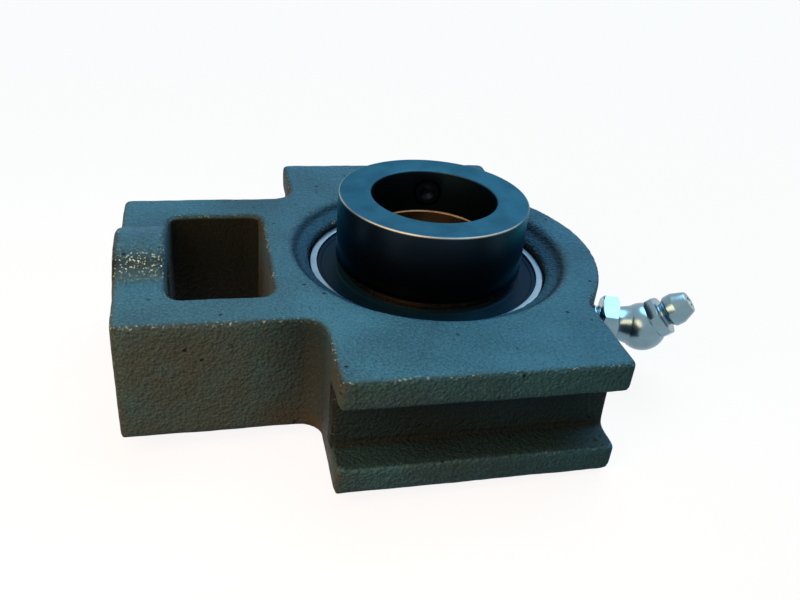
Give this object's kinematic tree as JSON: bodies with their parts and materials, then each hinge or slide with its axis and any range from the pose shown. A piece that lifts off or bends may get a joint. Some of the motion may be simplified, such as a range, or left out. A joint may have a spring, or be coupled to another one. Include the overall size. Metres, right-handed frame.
{
  "type": "take-up bearing unit",
  "caption": "Cast take-up bearing unit with side guide grooves, a nut window, a self-aligning ball insert with an eccentric locking collar, and an angled grease nipple.",
  "frame": {"origin": "centre of the insert on the shaft axis", "axes": "+Z along the shaft towards the locking collar, -X towards the take-up screw end, +X towards the round end"},
  "size_m": [0.1138, 0.089, 0.0395],
  "materials": {
    "painted_casting": "dark grey-green enamel over a rough sand casting",
    "ring_steel": "fine ground",
    "ball_steel": "polished",
    "cage_sheet": "pressed sheet",
    "seal_rubber": "moulded, semi-gloss",
    "black_oxide": "turned, black oxide, oiled",
    "zinc_plate": "bright zinc plate"
  },
  "bodies": {
    "housing": {"housing": "painted_casting", "nipple_elbow": "zinc_plate", "nipple_head": "zinc_plate", "nipple_spring": "ring_steel"},
    "check_ball": {"nipple_check_ball": "ball_steel"},
    "locating_pin": {"locating_pin": "ring_steel"},
    "outer_ring": {"outer_ring": "ring_steel", "seal_core_top": "cage_sheet", "seal_rubber_top": "seal_rubber", "seal_core_bottom": "cage_sheet", "seal_rubber_bottom": "seal_rubber"},
    "cage": {"cage_top": "cage_sheet", "cage_bottom": "cage_sheet", "cage_rivets": "cage_sheet", "ball_1": "ball_steel", "ball_2": "ball_steel", "ball_3": "ball_steel", "ball_4": "ball_steel", "ball_5": "ball_steel", "ball_6": "ball_steel", "ball_7": "ball_steel", "ball_8": "ball_steel", "ball_9": "ball_steel"},
    "inner_ring": {"inner_ring": "ring_steel"},
    "collar": {"locking_collar": "black_oxide"},
    "set_screw": {"collar_set_screw": "black_oxide"}
  },
  "joints": [
    {"name": "insert_tilt_y", "type": "hinge", "parent": "housing", "child": "locating_pin", "pos_m": [0, 0, 0], "axis": [0, 1, 0], "range_deg": [-2, 2]},
    {"name": "insert_tilt_x", "type": "hinge", "parent": "locating_pin", "child": "outer_ring", "pos_m": [0, 0, 0], "axis": [1, 0, 0], "range_deg": [-2, 2]},
    {"name": "shaft_spin", "type": "hinge", "parent": "outer_ring", "child": "inner_ring", "pos_m": [0, 0, 0], "axis": [0, 0, 1], "continuous": true},
    {"name": "cage_orbit", "type": "hinge", "parent": "outer_ring", "child": "cage", "pos_m": [0, 0, 0], "axis": [0, 0, 1], "continuous": true},
    {"name": "collar_lock_turn", "type": "hinge", "parent": "inner_ring", "child": "collar", "pos_m": [-0.00014, -0.00079, 0.012], "axis": [0, 0, 1], "range_deg": [-20, 20]},
    {"name": "set_screw_feed", "type": "slide", "parent": "collar", "child": "set_screw", "axis": [0.1736, 0.9848, 0], "range_m": [-0.0015, 0.001]},
    {"name": "check_ball_lift", "type": "slide", "parent": "housing", "child": "check_ball", "axis": [0.6434, -0.2998, 0.7044], "range_m": [-0.0008, 0], "stiffness_N_per_m": 200, "springref_m": 0.001, "deforming": ["nipple_spring"]}
  ],
  "couplings": [
    {"joint": "cage_orbit", "follows": "shaft_spin", "ratio": 0.3982}
  ]
}
